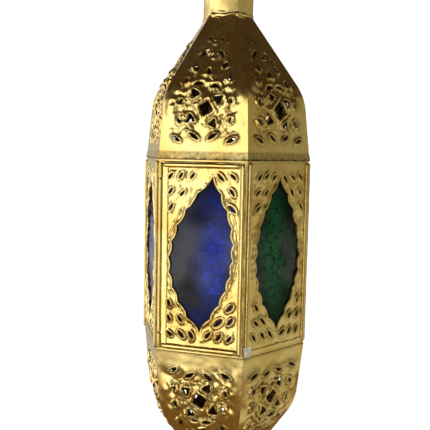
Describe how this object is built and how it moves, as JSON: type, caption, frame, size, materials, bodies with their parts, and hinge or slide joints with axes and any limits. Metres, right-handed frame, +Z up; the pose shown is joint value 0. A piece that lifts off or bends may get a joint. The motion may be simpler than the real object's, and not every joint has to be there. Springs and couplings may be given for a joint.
{
  "type": "ramadan fanous lantern",
  "caption": "Hanging six-sided candle lantern of pierced brass, with domed top and bottom, coloured glass panes behind scalloped windows and a hinged front door.",
  "frame": {"origin": "point on the inside of the hanging ring, at its top, where a hook carries the lantern", "axes": "+Z up along the lantern's middle line, -Y out of the front door, +X to the viewer's right"},
  "size_m": [0.131, 0.1163, 0.4601],
  "materials": {
    "brass_sheet": "polished hand-pierced brass sheet with chased edges and light tarnish",
    "brass_fitting": "polished brass wire and fittings with light tarnish",
    "glass_blue": "cobalt blue figured glass",
    "glass_green": "deep green figured glass"
  },
  "bodies": {
    "hanging_ring": {"hanging_ring": "brass_fitting"},
    "lantern": {"eye_bolt": "brass_fitting", "eye_nut": "brass_fitting", "finial": "brass_fitting", "finial_nut": "brass_fitting", "roof_cap": "brass_sheet", "neck": "brass_sheet", "bottom_collar": "brass_sheet", "bottom_cap": "brass_sheet", "upper_rim": "brass_sheet", "lower_rim": "brass_sheet", "upper_petal_1": "brass_sheet", "upper_petal_2": "brass_sheet", "upper_petal_3": "brass_sheet", "upper_petal_4": "brass_sheet", "upper_petal_5": "brass_sheet", "upper_petal_6": "brass_sheet", "lower_petal_1": "brass_sheet", "lower_petal_2": "brass_sheet", "lower_petal_3": "brass_sheet", "lower_petal_4": "brass_sheet", "lower_petal_5": "brass_sheet", "lower_petal_6": "brass_sheet", "corner_post_1": "brass_sheet", "corner_post_2": "brass_sheet", "corner_post_3": "brass_sheet", "corner_post_4": "brass_sheet", "corner_post_5": "brass_sheet", "corner_post_6": "brass_sheet", "side_panel_1": "brass_sheet", "side_panel_2": "brass_sheet", "side_panel_3": "brass_sheet", "side_panel_4": "brass_sheet", "side_panel_5": "brass_sheet", "side_glass_1": "glass_green", "side_glass_2": "glass_blue", "side_glass_3": "glass_blue", "side_glass_4": "glass_green", "side_glass_5": "glass_blue", "glass_clips": "brass_sheet", "hinge_knuckles": "brass_fitting", "hinge_pin": "brass_fitting", "candle_bar": "brass_sheet", "drip_pan": "brass_sheet", "candle_cup": "brass_sheet"},
    "door": {"door_panel": "brass_sheet", "door_frame": "brass_fitting", "door_glass": "glass_blue", "door_clips": "brass_sheet", "door_catch": "brass_sheet"}
  },
  "joints": [
    {"name": "lantern_swing", "type": "hinge", "parent": "hanging_ring", "child": "lantern", "pos_m": [0, 0, -0.0278], "axis": [1, 0, 0], "range_deg": [-45, 45]},
    {"name": "door_hinge", "type": "hinge", "parent": "lantern", "child": "door", "pos_m": [-0.03, -0.05719, -0.2463], "axis": [0, 0, -1], "range_deg": [0, 140]}
  ]
}
